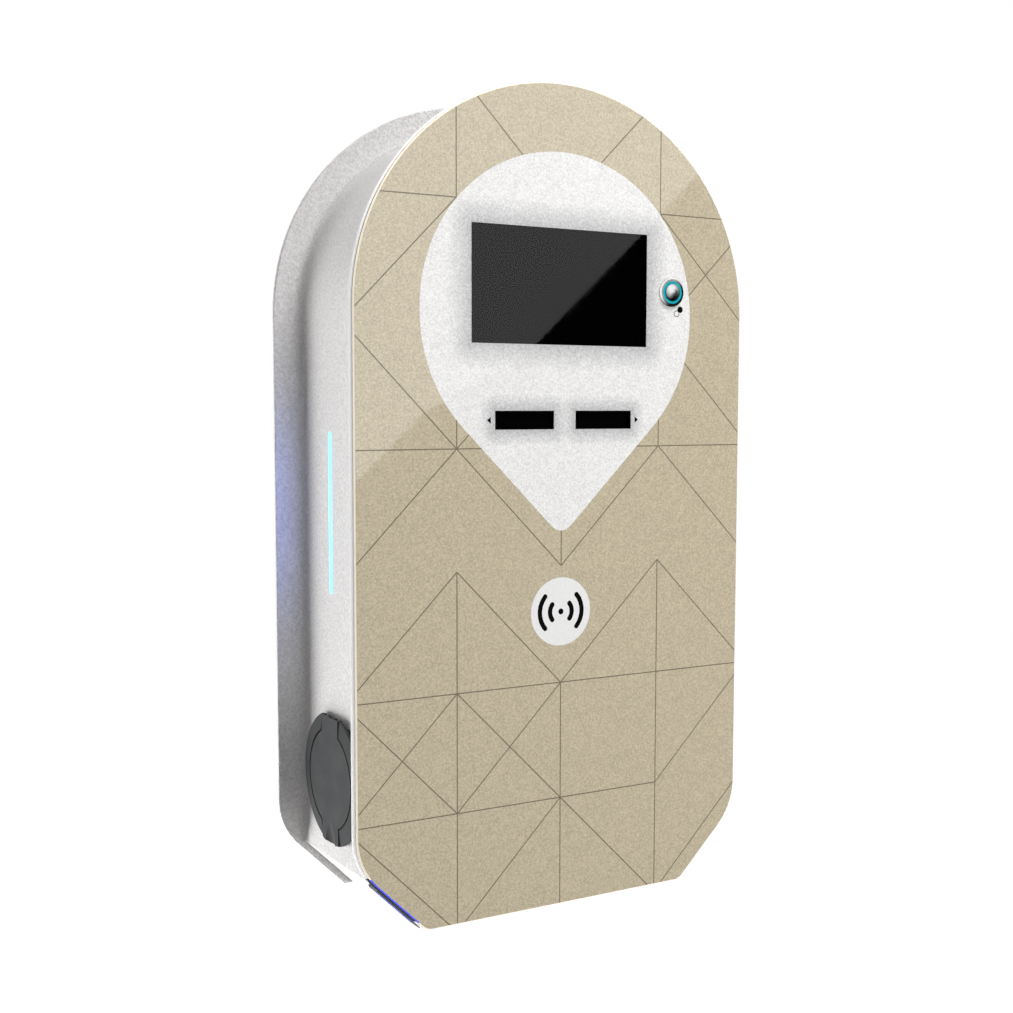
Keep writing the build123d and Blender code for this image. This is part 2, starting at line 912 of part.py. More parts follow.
def button_nut():
    """Hexagonal nut that holds the button from behind."""
    nut = extrude(RegularPolygon(button_nut_across / 2, 6, major_radius=False), amount=-button_nut_height)
    nut -= rod(button_thread_radius + glue_gap, -button_nut_height - cut_overrun, cut_overrun)
    return button_plane() * Pos(0, 0, cover_back - total_depth) * nut


# Lights


def side_light():
    """Lens in the wall slot with the flange and sealed case behind it."""
    flange_width = bar_width + 2 * bar_flange_margin
    flange_length = bar_length + 2 * bar_flange_margin
    lens = extrude(SlotOverall(bar_length, bar_width, rotation=90), amount=body_wall + bar_proud)
    flange = extrude(SlotOverall(flange_length, flange_width, rotation=90), amount=-bar_flange_thickness)
    case = extrude(SlotOverall(bar_length, bar_width + bar_flange_margin, rotation=90), amount=-bar_case_height)
    seat = Pos(0, 0, -body_wall - glue_gap)
    return side_plane(bar_depth, arch_height - bar_drop) * seat * (lens + flange + case)


def corner_light_depth():
    """Depth of the middle of the corner light."""
    return body_front - corner_light_setback


def corner_bezel_length():
    """Length of the corner bezel, a little less than the corner face."""
    upper, lower = corner_ends(corner_light_depth())
    return (lower - upper).length - 2 * corner_end_margin


def corner_spigot_outline(clearance):
    """Outline of the bezel's spigot, or of its hole."""
    length = corner_bezel_length() - 2 * corner_spigot_margin + clearance
    width = corner_bezel_width - 2 * corner_spigot_margin + clearance
    return RectangleRounded(length, width, corner_spigot_margin)


def corner_lens_outline(clearance):
    """Slot of the corner lens."""
    length = corner_bezel_length() - 2 * corner_lens_margin + 2 * clearance
    return SlotOverall(length, corner_lens_width + 2 * clearance)


def corner_bezel():
    """Dark frame on the corner face with a spigot through the wall."""
    outline = RectangleRounded(corner_bezel_length(), corner_bezel_width, corner_spigot_margin)
    plate = extrude(outline, amount=corner_bezel_thickness)
    plate = chamfer(plate.faces().sort_by(Axis.Z)[-1].edges(), corner_bezel_thickness / 2)
    bezel = plate + extrude(corner_spigot_outline(0), amount=-corner_spigot_height)
    bezel -= extrude(corner_lens_outline(glue_gap), amount=corner_spigot_height, both=True)
    return corner_plane(corner_light_depth()) * bezel


def corner_light():
    """Lens of the corner light in its bezel."""
    lens = extrude(corner_lens_outline(0), amount=corner_spigot_height + corner_bezel_thickness + corner_lens_proud)
    return corner_plane(corner_light_depth()) * Pos(0, 0, -corner_spigot_height) * lens


# Vehicle socket, modelled in the coordinates of the left side wall


def socket_plane():
    """Plane of the left socket on the wall."""
    return side_plane(socket_depth, arch_height - socket_drop)


def socket_screw_places():
    """Four screws around the socket's mouth."""
    return PolarLocations(socket_screw_ring_radius, 4, start_angle=45).locations


def flat_topped(radius, flat):
    """Circle with its top cut off flat."""
    cap = Pos(0, flat) * Rectangle(2 * radius, radius, align=(Align.CENTER, Align.MIN))
    return Circle(radius) - cap


def contact_places():
    """Centre contact and the six around it, as (location, is small)."""
    ring = PolarLocations(contact_ring_radius, 6).locations
    return [(Location((0, 0, 0)), False)] + [(place, place.position.Y > contact_ring_radius / 2) for place in ring]


def hinge_axis_y():
    """Height of the hinge pin above the socket's centre."""
    return lid_top - hinge_setback


def hinge_axis_z():
    """Distance of the hinge pin from the wall."""
    return socket_flange_thickness + small_gap + hinge_rise


def across(radius, width, middle=0):
    """Round bar along local X on the hinge axis."""
    place = Pos(middle, hinge_axis_y(), hinge_axis_z())
    return place * Rot(0, 90, 0) * Cylinder(radius, width)


def ear(side):
    """Hinge ear with its foot on the socket flange."""
    x = side * ear_spread / 2
    foot_height = hinge_axis_z()
    foot = Pos(x, hinge_axis_y(), 0) * Box(
        ear_thickness, 2 * ear_foot_reach, foot_height, align=(Align.CENTER, Align.CENTER, Align.MIN)
    )
    finger_length = 2 * (hinge_setback + small_gap)
    finger = Pos(x, hinge_axis_y() + ear_foot_reach, 0) * Box(
        ear_thickness, finger_length, socket_flange_thickness, align=(Align.CENTER, Align.MAX, Align.MIN)
    )
    return foot + finger + across(ear_radius, ear_thickness, x)


def mouth_outline(inset=0):
    """Outline of the mouth, or of what stands inside it."""
    return flat_topped(mouth_radius - inset, mouth_flat - inset)


def lifted(sketch, low, high):
    """The sketch filled along local Z between two heights."""
    return Pos(0, 0, low) * extrude(sketch, amount=high - low)


def socket_housing():
    """Moulded socket: flange with hinge ears, and a barrel that is open at both ends."""
    flange_top = hinge_axis_y() - hinge_setback - 2 * small_gap
    flange = lifted(flat_topped(socket_flange_radius, flange_top), 0, socket_flange_thickness)
    barrel = lifted(flat_topped(socket_body_radius, socket_flat), -socket_body_length, 0)
    housing = flange + barrel + ear(-1) + ear(1)
    housing -= lifted(mouth_outline(), -socket_body_length - cut_overrun, socket_flange_thickness + cut_overrun)
    for place in socket_screw_places():
        housing -= place * rod(socket_screw_radius + glue_gap, -cut_overrun, socket_flange_thickness + cut_overrun)
        sink = socket_flange_thickness - socket_screw_head_height
        housing -= place * rod(socket_screw_head_radius + glue_gap, sink, socket_flange_thickness + cut_overrun)
    housing -= across(hinge_pin_radius + glue_gap / 2, 2 * ear_spread)
    housing -= lock_pin_bar(lock_fit, mouth_flat - cut_overrun, socket_flat + cut_overrun)
    return housing


def contact_carrier():
    """Insert from behind: a flange on the barrel's end, a plug in its bore and the contact island."""
    back = -socket_body_length
    carrier = lifted(flat_topped(socket_body_radius, socket_flat), back - carrier_flange, back)
    carrier += lifted(mouth_outline(glue_gap), back, -groove_depth)
    carrier += lifted(mouth_outline(island_gap), -groove_depth, -island_face)
    for place, small in contact_places():
        radius = small_contact_radius if small else contact_radius
        carrier -= place * rod(radius + glue_gap, back - carrier_flange - cut_overrun, 0)
    return carrier


def socket_contacts():
    """Brass sleeves of the contacts with their tails."""
    contacts = []
    for place, small in contact_places():
        radius = small_contact_radius if small else contact_radius
        bore = small_contact_bore if small else contact_bore
        face = -island_face - contact_recess
        tail = -socket_body_length - carrier_flange - contact_tail_length
        sleeve = rod(radius, -socket_body_length, face) + rod(contact_tail_radius, tail, face)
        sleeve -= rod(bore, face - contact_bore_depth, face + cut_overrun)
        contacts.append(place * sleeve)
    return spread(contacts)


def socket_screws():
    """Low-head screws of one socket flange."""
    screws = []
    for place in socket_screw_places():
        sink = socket_flange_thickness - socket_screw_head_height
        screw = rod(socket_screw_head_radius, sink, socket_flange_thickness)
        screw += rod(socket_screw_radius, sink - socket_screw_length, sink)
        slot = Box(2 * socket_screw_head_radius, screw_slot_width, socket_screw_head_height)
        screws.append(place * (screw - Pos(0, 0, socket_flange_thickness) * slot))
    return screws


def lid_plate(base, top):
    """Round plate with a flat disc, flat tongues up and down, and a rim that slopes away beside them."""
    rim_top = base + lid_rim_thickness
    section = [(0, base), (lid_radius - lid_edge, base), (lid_radius, base + lid_edge)]
    section += [(lid_radius, rim_top - lid_edge), (lid_radius - lid_edge, rim_top), (lid_disc_radius, top), (0, top)]
    plate = revolve(Plane.XZ * make_face(Polyline(*section, close=True)), axis=Axis.Z)
    flat = Circle(lid_disc_radius) + Rectangle(2 * lid_tongue_half, 2 * (lid_radius + lid_groove_width))
    groove = flat - offset(flat, amount=-lid_groove_width)
    plate += lifted(flat & Circle(lid_radius - lid_edge), base + lid_edge, top)
    return plate - lifted(groove, top - lid_groove_depth, top + cut_overrun)


def lid():
    """Hinged lid: plate, knuckle, skirt and thumb notch."""
    base = socket_flange_thickness + small_gap
    top = base + lid_thickness
    shape = lid_plate(base, top) - lid_top_cut(base, top)
    shape += across(knuckle_radius, ear_spread - ear_thickness - 2 * small_gap)
    skirt = Circle(lid_skirt_radius) - Circle(lid_skirt_radius - lid_skirt_thickness)
    skirt &= mouth_outline(2 * small_gap)
    shape += lifted(skirt, base - lid_skirt_length, base)
    shape -= thumb_notch(top)
    for side in (-1, 1):
        shape -= hinge_slot(side * ear_spread / 2, ear_thickness + 2 * small_gap, ear_radius + small_gap)
    shape -= hinge_slot(0, knuckle_gap, knuckle_radius + small_gap)
    shape -= spring_leg_bar(small_gap)
    shape -= across(hinge_pin_radius + hinge_fit, 2 * ear_spread)
    return shape


def lid_top_cut(base, top):
    """Slanted cut along the top edge that clears the wall when the lid opens."""
    outline = Polyline(
        (lid_top, base - cut_overrun),
        (lid_top, base),
        (lid_top - lid_top_slant, top),
        (lid_top - lid_top_slant, top + cut_overrun),
        (2 * lid_radius, top + cut_overrun),
        (2 * lid_radius, base - cut_overrun),
        close=True,
    )
    return extrude(Plane.YZ * make_face(outline), amount=2 * lid_radius, both=True)


def thumb_notch(top):
    """Round scoop that gets deeper towards the lower edge of the lid."""
    length = lid_radius - notch_start
    tilt = degrees(atan2(notch_depth, length))
    scoop = Pos(0, notch_radius, 0) * Cylinder(notch_radius, 4 * length)
    return Pos(0, -notch_start, top) * Rot(90 + tilt, 0, 0) * scoop


def hinge_slot(x, width, radius):
    """Room in the lid around something on the hinge axis, open to the top edge."""
    slot = Box(width, radius + 2 * hinge_setback, 2 * lid_thickness, align=(Align.CENTER, Align.MIN, Align.MAX))
    return Pos(x, hinge_axis_y() - radius, hinge_axis_z() + radius) * slot


def lid_pin():
    """Hinge pin through the ears and the knuckle."""
    return across(hinge_pin_radius, ear_spread + ear_thickness)


def spring_leg_bar(clearance):
    """Flat leg of the spring on the socket flange, larger by a clearance."""
    middle_z = hinge_axis_z() - spring_radius + spring_wire / 2
    leg = Box(
        spring_length + 2 * clearance,
        spring_leg + clearance,
        spring_wire + 2 * clearance,
        align=(Align.CENTER, Align.MAX, Align.CENTER),
    )
    return Pos(0, hinge_axis_y(), middle_z) * leg


def lid_spring():
    """Close-wound torsion spring around the pin, with a leg on the flange."""
    coil = across(spring_radius, spring_length) + spring_leg_bar(0)
    return coil - across(spring_radius - spring_wire, 2 * spring_length)


# Plug lock, modelled in the coordinates of the left side wall


def lock_pin_bar(clearance, low, high):
    """Round bar along local Y on the lock pin's axis."""
    place = Pos(0, low, -lock_pin_setback) * Rot(-90, 0, 0)
    return place * Cylinder(lock_pin_radius + clearance, high - low, align=(Align.CENTER, Align.CENTER, Align.MIN))


def lock_motor():
    """Lock drive on the flat of the socket, with the pin's guide bore and the gear cover."""
    top_gap = lock_pin_setback - lock_pin_radius - small_gap
    case = Pos(0, socket_flat, -top_gap) * Box(
        lock_width, lock_height, lock_length, align=(Align.CENTER, Align.MIN, Align.MAX)
    )
    case = fillet(case.edges().filter_by(Axis.Z), lock_pin_radius)
    gear_y = socket_flat + lock_height / 2
    case += Pos(0, gear_y, -top_gap - lock_length) * rod(lock_gear_radius, -lock_gear_height, 0)
    high = mouth_flat + lock_pin_rest + lock_pin_length + cut_overrun
    return case - lock_pin_bar(lock_fit, socket_flat - cut_overrun, high)


def lock_pin():
    """Steel pin that drops into the mouth to hold a plug."""
    low = mouth_flat + lock_pin_rest
    pin = lock_pin_bar(0, low, low + lock_pin_length)
    return chamfer(pin.edges().sort_by(Axis.Y)[0], lock_pin_radius / 4)


# Rails and the devices on them


def rail(length, x, z, front):
    """Top hat rail with its brims to the front."""
    half = rail_width / 2
    crown = rail_crown / 2 - rail_sheet
    back = front - rail_depth
    points = [(half, front), (crown, front), (crown, back + rail_sheet), (0, back + rail_sheet)]
    points += [(0, back), (crown + rail_sheet, back), (crown + rail_sheet, front - rail_sheet), (half, front - rail_sheet)]
    upper = side_section(points, length)
    return Pos(x, 0, z) * (upper + mirror(upper, about=Plane.XY))


def side_section(points, width):
    """Outline of (height, depth) points, extruded across X about the middle."""
    outline = make_face(Polyline(*[(0, -depth, z) for z, depth in points], close=True))
    return extrude(outline, amount=width / 2, both=True)


def din_device(width, height, shoulder, depth, nose_height, x, z, front):
    """Stepped device case with two hooks around the rail."""
    half = height / 2
    nose = nose_height / 2
    edge = rail_width / 2 + small_gap
    hook_back = front - rail_hook_depth - rail_hook_lip
    lip_front = front - rail_sheet - small_gap
    points = [(half, front), (half, front + shoulder), (nose, front + shoulder), (nose, front + depth)]
    points += [(-z_, d_) for z_, d_ in reversed(points)]
    case = side_section(points, width)
    hook = [(edge, front), (edge + rail_hook, front), (edge + rail_hook, hook_back), (edge - rail_hook, hook_back)]
    hook += [(edge - rail_hook, lip_front), (edge, lip_front)]
    hooks = side_section(hook, width / 2)
    device = case + hooks + mirror(hooks, about=Plane.XY)
    return Pos(x, 0, z) * device


def terminal_row(device, count, width, height, shoulder, x, z, front):
    """Screw wells in the shoulders of a device, above and below its nose."""
    pitch = width / count
    for index in range(count):
        across_x = x + (index - (count - 1) / 2) * pitch
        for side in (-1, 1):
            up = z + side * height / 2
            down = up - side * terminal_edge_share * pitch
            device -= peg(terminal_screw_radius, front + shoulder - terminal_screw_depth, front + shoulder + cut_overrun, across_x, down)
    return device


def device_rails():
    """Raised rail of the energy meters and the two rails on the back plate."""
    rails = [rail(meter_rail_length, window_shift, window_z, meter_rail_front)]
    rails += [rail(lower_rail_length, 0, z, lower_rail_front) for z in rail_zs]
    return spread(rails)


def rail_feet():
    """Two channel feet between the back plate and the raised rail."""
    back = plate_thickness
    front = meter_rail_front - rail_depth
    feet = []
    for side in (-1, 1):
        x = window_shift + side * (meter_rail_length / 2 - rail_foot_setback)
        half = rail_crown / 2
        foot = Rectangle(rail_foot_length, rail_crown)
        hollow = block(rail_foot_length + 2 * cut_overrun, rail_crown - 2 * rail_foot_sheet, back + rail_foot_sheet, front - rail_foot_sheet, x, window_z)
        feet.append(slab(Pos(x, window_z) * foot, back, front) - hollow)
    return spread(feet)


def energy_meter(x):
    """Energy meter whose face ends just behind its window."""
    sizes = (meter_width, meter_height, meter_shoulder)
    device = din_device(*sizes, meter_depth, meter_nose_height, x, window_z, meter_rail_front)
    return terminal_row(device, 3, *sizes, x, window_z, meter_rail_front)


def lever_axis(side):
    """Centre of a breaker's lever hub as (x, depth, z)."""
    return side * breaker_offset, lower_rail_front + breaker_depth - lever_sink, -breaker_rail_drop


def breaker(side):
    """Residual current breaker with the round pocket of its lever."""
    x, depth, z = lever_axis(side)
    sizes = (breaker_width, breaker_height, breaker_shoulder)
    device = din_device(*sizes, breaker_depth, breaker_nose_height, x, z, lower_rail_front)
    device = terminal_row(device, 4, *sizes, x, z, lower_rail_front)
    pocket = Cylinder(lever_hub_radius + lever_fit, lever_width + 2 * lever_side_gap)
    return device - Pos(x, -depth, z) * Rot(0, 90, 0) * pocket


def breaker_lever(side):
    """Lever with its round hub, standing up in the on position."""
    x, depth, z = lever_axis(side)
    hub = Rot(0, 90, 0) * Cylinder(lever_hub_radius, lever_width)
    handle = Pos(0, -lever_hub_radius / 2, 0) * Box(
        lever_width, lever_hub_radius / 2 + lever_reach, lever_thickness, align=(Align.CENTER, Align.MAX, Align.CENTER)
    )
    return Pos(x, -depth, z) * Rot(-30, 0, 0) * (hub + handle)


def contactor(side):
    """Contactor with its screw terminals."""
    x = side * contactor_offset
    sizes = (contactor_width, contactor_height, contactor_shoulder)
    device = din_device(*sizes, contactor_depth, contactor_nose_height, x, -contactor_rail_drop, lower_rail_front)
    return terminal_row(device, 3, *sizes, x, -contactor_rail_drop, lower_rail_front)


def power_supply():
    """Power supply with vent slots across its nose."""
    sizes = (supply_width, supply_height, supply_shoulder)
    device = din_device(*sizes, supply_depth, supply_nose_height, 0, -contactor_rail_drop, lower_rail_front)
    device = terminal_row(device, 4, *sizes, 0, -contactor_rail_drop, lower_rail_front)
    front = lower_rail_front + supply_depth
    pitch = supply_nose_height * supply_vent_share / supply_vent_count
    for index in range(supply_vent_count):
        z = -contactor_rail_drop + (index - (supply_vent_count - 1) / 2) * pitch
        width = supply_width * supply_vent_share
        device -= block(width, supply_vent_width, front - supply_vent_depth, front + cut_overrun, 0, z)
    return device


# Boards, terminals and gland on the back plate


def spacer_places():
    """Corners of the controller board that stand on spacers."""
    half_x = controller_width / 2 - spacer_inset
    half_z = controller_height / 2 - spacer_inset
    return [(x, controller_rise + z) for x in (-half_x, half_x) for z in (-half_z, half_z)]


def board_spacers():
    """Four spacers under the controller board."""
    return spread([peg(spacer_radius, plate_thickness, plate_thickness + spacer_length, x, z) for x, z in spacer_places()])


def controller_board():
    """Controller board with its processor and a row of plugs."""
    back = plate_thickness + spacer_length
    face = back + board_thickness
    board = block(controller_width, controller_height, back, face, 0, controller_rise)
    board += block(controller_chip_side, controller_chip_side, back, face + controller_chip_height, 0, controller_rise)
    for share in controller_plug_shares:
        x = share * controller_width
        z = controller_rise - controller_height / 2 + controller_plug_depth / 2
        board += block(controller_chip_side * terminal_edge_share, controller_plug_depth, back, face + controller_plug_height, x, z)
    return board


def terminal_block():
    """Supply terminals: a stepped bar with an entry for each wire."""
    half = terminal_height / 2
    shelf = half - terminal_step
    low = plate_thickness + terminal_step_depth
    high = plate_thickness + terminal_depth
    points = [(half, plate_thickness), (half, low), (shelf, low), (shelf, high), (-shelf, high), (-shelf, low)]
    points += [(-half, low), (-half, plate_thickness)]
    bar = Pos(0, 0, -terminal_drop) * side_section(points, terminal_count * terminal_pitch)
    for index in range(terminal_count):
        x = (index - (terminal_count - 1) / 2) * terminal_pitch
        depth = (plate_thickness + low) / 2
        for side in (-1, 1):
            place = Pos(x, -depth, side * half - terminal_drop) * Cylinder(terminal_entry_radius, 2 * terminal_entry_depth)
            bar -= place
        bar -= peg(terminal_screw_radius, high - terminal_screw_depth, high + cut_overrun, x, -terminal_drop)
    return bar


def cable_gland():
    """Gland whose spigot ends flush with the back of the plate."""
    hexagon = RegularPolygon(gland_hex_across / 2, 6, major_radius=False)
    front = plate_thickness + gland_hex_height
    gland = slab(Pos(0, -gland_drop) * hexagon, plate_thickness, front)
    gland += peg(gland_spigot_radius, 0, plate_thickness, 0, -gland_drop)
    dome = peg(gland_dome_radius, front, front + gland_dome_height, 0, -gland_drop)
    gland += chamfer(dome.edges().sort_by(Axis.Y)[0], gland_dome_edge)
    return gland - peg(gland_bore, -cut_overrun, total_depth, 0, -gland_drop)


# All sub-parts by name


def both_sides(name, shape):
    """A left piece and its mirror image."""
    return {name + "_left": shape, name + "_right": mirrored(shape)}


def sub_parts():
    """Every node of the model."""
    left_screws = [socket_plane() * screw for screw in socket_screws()]
    parts = {
        "body_shell": body_shell(),
        "back_plate": back_plate(),
        "back_plate_screws": back_plate_screws(),
        "cover_gasket": cover_gasket(),
        "front_cover": front_cover(),
        "cover_screws": cover_screws(),
        "front_glass": front_glass(),
        "beige_print": beige_print(),
        "pattern_lines": pattern_lines(),
        "pin_print": pin_print(),
        "guide_marks": guide_marks(),
        "reader_disc": reader_disc(),
        "reader_waves": reader_waves(),
        "display_panel": display_panel(),
        "display_frame": display_frame(),
        "meter_window_left": meter_window(window_places()[0]),
        "meter_window_right": meter_window(window_places()[1]),
        "energy_meter_left": energy_meter(window_places()[0]),
        "energy_meter_right": energy_meter(window_places()[1]),
        "device_rails": device_rails(),
        "rail_feet": rail_feet(),
        "button_bezel": button_bezel(),
        "button_ring": button_ring(),
        "button_cap": button_cap(),
        "button_nut": button_nut(),
        "breaker_left": breaker(-1),
        "breaker_right": breaker(1),
        "breaker_lever_left": breaker_lever(-1),
        "breaker_lever_right": breaker_lever(1),
        "contactor_left": contactor(-1),
        "contactor_right": contactor(1),
        "power_supply": power_supply(),
        "controller_board": controller_board(),
        "board_spacers": board_spacers(),
        "reader_board": reader_board(),
        "terminal_block": terminal_block(),
        "cable_gland": cable_gland(),
        "socket_screws": spread(left_screws + [mirrored(screw) for screw in left_screws]),
    }
    parts.update(both_sides("side_light", side_light()))
    parts.update(both_sides("corner_bezel", corner_bezel()))
    parts.update(both_sides("corner_light", corner_light()))
    parts.update(both_sides("socket", socket_plane() * socket_housing()))
    parts.update(both_sides("contact_carrier", socket_plane() * contact_carrier()))
    parts.update(both_sides("socket_contacts", socket_plane() * socket_contacts()))
    parts.update(both_sides("socket_lid", socket_plane() * lid()))
    parts.update(both_sides("lid_pin", socket_plane() * lid_pin()))
    parts.update(both_sides("lid_spring", socket_plane() * lid_spring()))
    parts.update(both_sides("lock_motor", socket_plane() * lock_motor()))
    parts.update(both_sides("lock_pin", socket_plane() * lock_pin()))
    return parts


os.makedirs("parts", exist_ok=True)
for name, shape in sub_parts().items():
    export_step(shape, "parts/" + name + ".step")
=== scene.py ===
import json
from math import radians

import bpy
from mathutils import Matrix, Vector

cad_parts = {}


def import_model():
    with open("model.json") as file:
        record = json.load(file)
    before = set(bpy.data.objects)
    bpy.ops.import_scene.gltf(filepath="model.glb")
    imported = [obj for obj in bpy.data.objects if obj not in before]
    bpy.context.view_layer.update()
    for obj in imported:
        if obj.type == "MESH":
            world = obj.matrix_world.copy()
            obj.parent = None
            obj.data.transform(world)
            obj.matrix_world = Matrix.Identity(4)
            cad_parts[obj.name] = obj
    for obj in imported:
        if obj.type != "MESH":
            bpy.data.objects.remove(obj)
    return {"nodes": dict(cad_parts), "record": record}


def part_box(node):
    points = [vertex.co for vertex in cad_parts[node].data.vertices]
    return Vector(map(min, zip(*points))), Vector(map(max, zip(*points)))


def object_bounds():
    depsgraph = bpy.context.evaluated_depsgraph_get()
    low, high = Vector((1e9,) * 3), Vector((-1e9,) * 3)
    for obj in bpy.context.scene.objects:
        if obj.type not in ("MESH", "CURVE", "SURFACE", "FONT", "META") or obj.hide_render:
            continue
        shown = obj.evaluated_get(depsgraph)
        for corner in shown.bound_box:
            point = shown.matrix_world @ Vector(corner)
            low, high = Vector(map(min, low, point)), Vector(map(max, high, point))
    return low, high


# Dresses the wall charging station: a material for each CAD node, the studio light and the camera.
# Lengths are in metres in the frame of the CAD: +Z is up, the front faces -Y and the wall plane is Y = 0.

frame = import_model()
cad_box = [list(corner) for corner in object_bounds()]
cad_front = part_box("pin_print")[0].y


def linear(red, green, blue):
    """An 8 bit display colour as linear light."""
    shares = [value / 255 for value in (red, green, blue)]
    return tuple(s / 12.92 if s <= 0.04045 else ((s + 0.055) / 1.055) ** 2.4 for s in shares)


# Camera, solved from the photograph. Its angles are in degrees.
image_side = 1013.0
focal_pixels = 1324.4
sensor_width = 36.0
camera_place = (-0.5189, -1.0239, 0.0753)
camera_tilt = 85.656
camera_heading = -28.323
camera_roll = 0.065

# World and floor
white = (1.0, 1.0, 1.0)
black = (0.0, 0.0, 0.0)
world_light = 0.075
floor_drop = 3.0
floor_side = 30.0
floor_colour = (0.8, 0.8, 0.8)
floor_roughness = 0.9
floor_lift = 1.0

# Softboxes: name, place, target, side and power
softboxes = (
    ("top_key", (0.55, -1.6, 2.2), (0.0, 0.0, 0.0), 1.2, 52),
    ("low_fill", (0.8, -2.4, -0.4), (0.0, 0.0, 0.0), 1.4, 35),
    ("side_rim", (-1.42, 2.2, 0.1), (-0.15, 0.0, 0.0), 1.1, 8),
    ("back_top", (-0.9, 0.6, 2.4), (0.0, 0.0, 0.0), 1.0, 14),
    ("low_side", (-1.6, 1.4, -1.0), (-0.15, 0.0, -0.1), 1.1, 42),
    ("under_side", (-0.9, 1.2, -1.9), (-0.15, 0.0, -0.1), 1.0, 34),
    ("right_side", (1.9, 0.9, 0.4), (0.15, 0.0, 0.0), 1.2, 20),
    ("back_wash", (0.5, 2.6, 0.5), (0.0, 0.1, 0.0), 1.2, 13),
)

# Lamp strips over the light bars, which light the flange beside them
strip_colour = (0.1, 0.2, 1.0)
strip_power = 0.065
strip_width = 0.005
strip_gap = 0.001

# Dark card that the glass mirrors: its edge follows this line of the photograph, in pixels
card_line = ((352, 486), (425, 412), (520, 361), (640, 237), (700, 172), (900, -60))
card_place = -2.0
card_reach = 6.0

# Edges that turn by more degrees than this stay sharp
smooth_angle = 32.0

# Nearly all of a noise lies between these two values
noise_low = 0.3
noise_high = 0.7

# Fine textures: size of the grain, size of the broader swing over it, and height of the relief
powder_grain = 0.0019
powder_swell = 3 * powder_grain
powder_relief = 0.0007
print_grain = 0.0013
print_swell = 9 * print_grain
print_swell_share = 0.12
print_relief = 0.00003
plastic_grain = 0.0009
plastic_swell = 20 * plastic_grain
plastic_relief = 0.00006
display_grain = 0.0005

# Metal: size of the streaks, and how far the tool marks on turned pieces are drawn out
brush_length = 0.03
brush_width = 0.00035
turned_stretch = 20.0

# Painted highlight and painted dark reflection on the steel button, as a dome would show: where it is
# brightest, as shares of its radius, and how far it fades
painted_highlight_colour = (0.93, 0.93, 0.93)
painted_reflection_dark = (0.02, 0.02, 0.02)
cap_painted_highlight_shares = (-0.25, 0.35)
cap_painted_fade_shares = (0.35, 1.15)
bezel_painted_highlight_shares = (-0.9, 0.75)
bezel_painted_fade_shares = (1.1, 1.75)

# Painted shade, a soft grey around the display and the windows: node, inset from its edge, and reach
painted_shade_halos = (
    ("display_panel", 0.005, 0.02),
    ("meter_window_left", 0.003, 0.013),
    ("meter_window_right", 0.003, 0.013),
)
painted_halo_shade = (0.62, 0.62, 0.63)
painted_halo_grain = 0.12

# Clear glass: colour, index, and size and roughness of the wipe marks
glass_tint = (0.985, 0.992, 0.988)
glass_index = 1.56
wipe_size = 0.05
wipe_roughness = (0.015, 0.035)

# The glass is clear only this near the display and windows, and ground where its face turns from the front
clear_reach = 0.006
clear_least = 0.001
ground_facing = (0.85, 0.95)

# Ground edge of the glass, from its front backwards: bevel with a painted cream glow, then a greyer seam
edge_cream = linear(246, 238, 222)
edge_grey = linear(196, 193, 188)
painted_bevel_glow = (0.42, 0.375, 0.29)
seam_depth = 0.0013
seam_soft = 0.0003

# Lower corners: height that the corner lights take up, the painted shade beside them, and the painted blue
# glow in the front of the glass there
corner_low = -0.3081
corner_high = -0.2692
corner_soft = 0.0004
painted_corner_shade = linear(70, 70, 76)
painted_glow_colour = (0.03, 0.06, 1.0)
painted_glow_depth = 0.0024

# Step of the cover beside the glass, brightened with painted light: the facing it takes, its colour and its
# strength
painted_step_facing = (-0.6, -0.5)
painted_step_colour = (1.0, 0.99, 0.97)
painted_step_light = 0.42

# Lines that divide the socket lid, painted dark as the shade in their grooves: its middle, half width of its
# tongue, radius of its disc, and line width
lid_middle_setback = 0.0674
lid_middle_drop = 0.2149
lid_tongue_half = 0.0161
lid_disc_radius = 0.0394
lid_line_half = 0.0006
lid_line_soft = 0.0002
lid_line_painted_shade = (0.004, 0.004, 0.004)

# Lit lenses: size of the bright cells, and how far they swing around the mean strength
lens_cell = 0.004
lens_swing = 0.25


# Node trees


def opaque(colour):
    """A colour's three channels with a full fourth one. A socket stays as it is."""
    return (*colour, 1.0) if isinstance(colour, tuple) else colour


